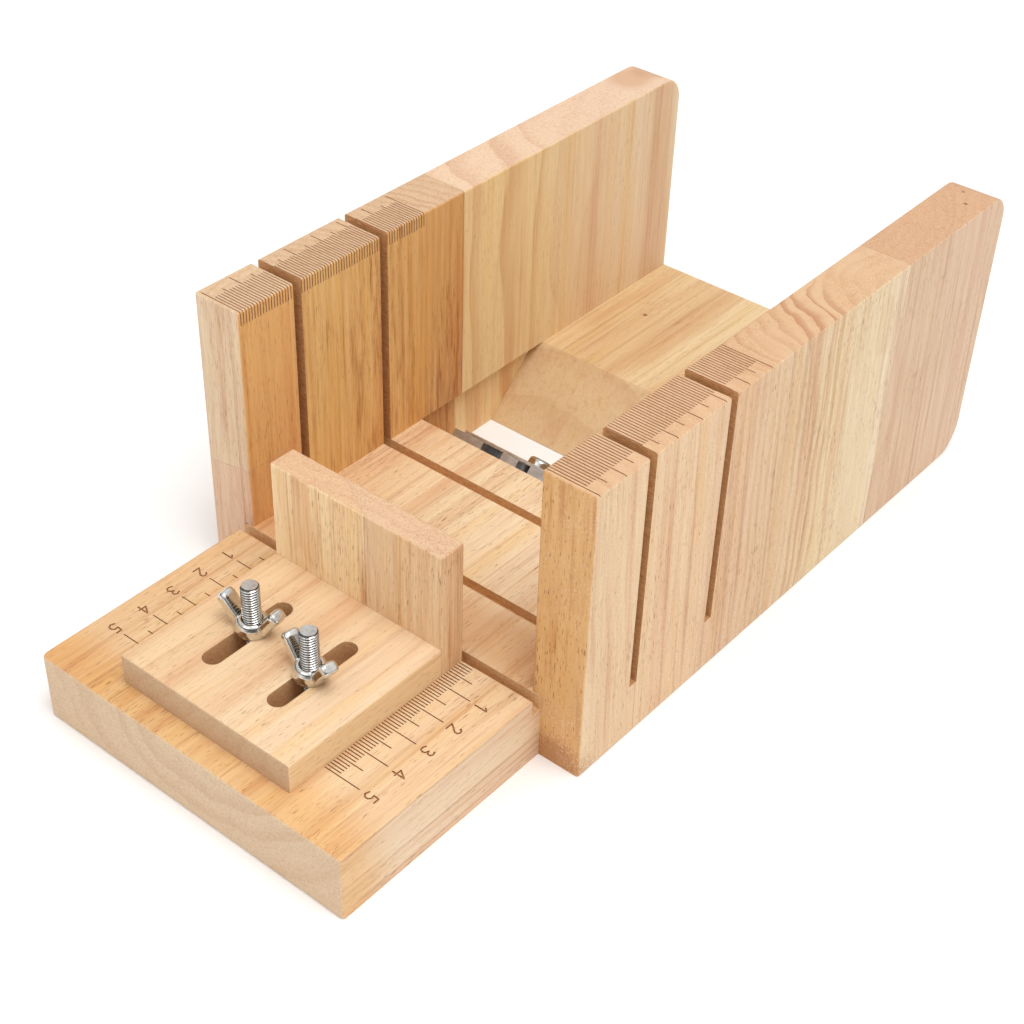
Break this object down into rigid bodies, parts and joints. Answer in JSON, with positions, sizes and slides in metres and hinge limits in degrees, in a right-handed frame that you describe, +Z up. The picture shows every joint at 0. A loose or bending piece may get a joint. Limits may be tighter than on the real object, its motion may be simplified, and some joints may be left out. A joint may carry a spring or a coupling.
{
  "type": "soap loaf cutter box",
  "caption": "Wooden soap loaf box with side walls, guide kerfs for a knife, a sliding stop held by wing nuts, engraved rulers and a plane iron in a floor throat.",
  "frame": {"origin": "on the underside, in the middle of the overall length and width", "axes": "+Z up, +Y from the sliding stop towards the rear of the box, +X to the right wall seen from the stop"},
  "size_m": [0.1316, 0.2664, 0.0895],
  "materials": {
    "floor_wood": "sanded, unvarnished",
    "left_block_wood": "sanded, unvarnished",
    "left_front_wood": "sanded, unvarnished",
    "left_rear_wood": "sanded, unvarnished",
    "right_front_wood": "sanded, unvarnished",
    "right_rear_wood": "sanded, unvarnished",
    "stop_wood": "sanded, unvarnished",
    "fence_wood": "sanded, unvarnished",
    "dowel_wood": "plain",
    "bolt_steel": "bright plated",
    "nut_steel": "bright plated",
    "blade_steel": "ground",
    "cap_steel": "satin",
    "screw_steel": "bright plated"
  },
  "bodies": {
    "box": {"base_front_board": "floor_wood", "base_rear_board": "floor_wood", "left_wall_end_block_upper": "left_block_wood", "left_wall_end_block_lower": "left_block_wood", "left_wall_front_stave": "left_front_wood", "left_wall_rear_stave": "left_rear_wood", "right_wall_front_stave": "right_front_wood", "right_wall_rear_stave": "right_rear_wood", "left_wall_dowels": "dowel_wood", "right_wall_dowels": "dowel_wood", "left_coach_bolt": "bolt_steel", "right_coach_bolt": "bolt_steel", "blade_cap": "cap_steel"},
    "stop": {"stop_foot": "stop_wood", "stop_fence_left_stave": "fence_wood", "stop_fence_right_stave": "fence_wood", "stop_dowels": "dowel_wood"},
    "left_nut": {"left_wing_nut": "nut_steel"},
    "right_nut": {"right_wing_nut": "nut_steel"},
    "blade": {"planer_blade": "blade_steel"},
    "left_screw": {"left_blade_screw": "screw_steel"},
    "right_screw": {"right_blade_screw": "screw_steel"}
  },
  "joints": [
    {"name": "stop_slide", "type": "slide", "parent": "box", "child": "stop", "axis": [0, 1, 0], "range_m": [-0.01, 0.011]},
    {"name": "left_nut_turn", "type": "hinge", "parent": "box", "child": "left_nut", "pos_m": [-0.0114, -0.0975, 0.034], "axis": [0, 0, 1], "continuous": true},
    {"name": "right_nut_turn", "type": "hinge", "parent": "box", "child": "right_nut", "pos_m": [0.0114, -0.1, 0.034], "axis": [0, 0, 1], "continuous": true},
    {"name": "blade_slide", "type": "slide", "parent": "box", "child": "blade", "axis": [0, 0.7071, -0.7071], "range_m": [-0.002, 0.0015]},
    {"name": "left_screw_turn", "type": "hinge", "parent": "box", "child": "left_screw", "pos_m": [-0.0114, 0.01536, 0.01414], "axis": [0, 0.7071, 0.7071], "continuous": true},
    {"name": "right_screw_turn", "type": "hinge", "parent": "box", "child": "right_screw", "pos_m": [0.0114, 0.01536, 0.01414], "axis": [0, 0.7071, 0.7071], "continuous": true}
  ]
}
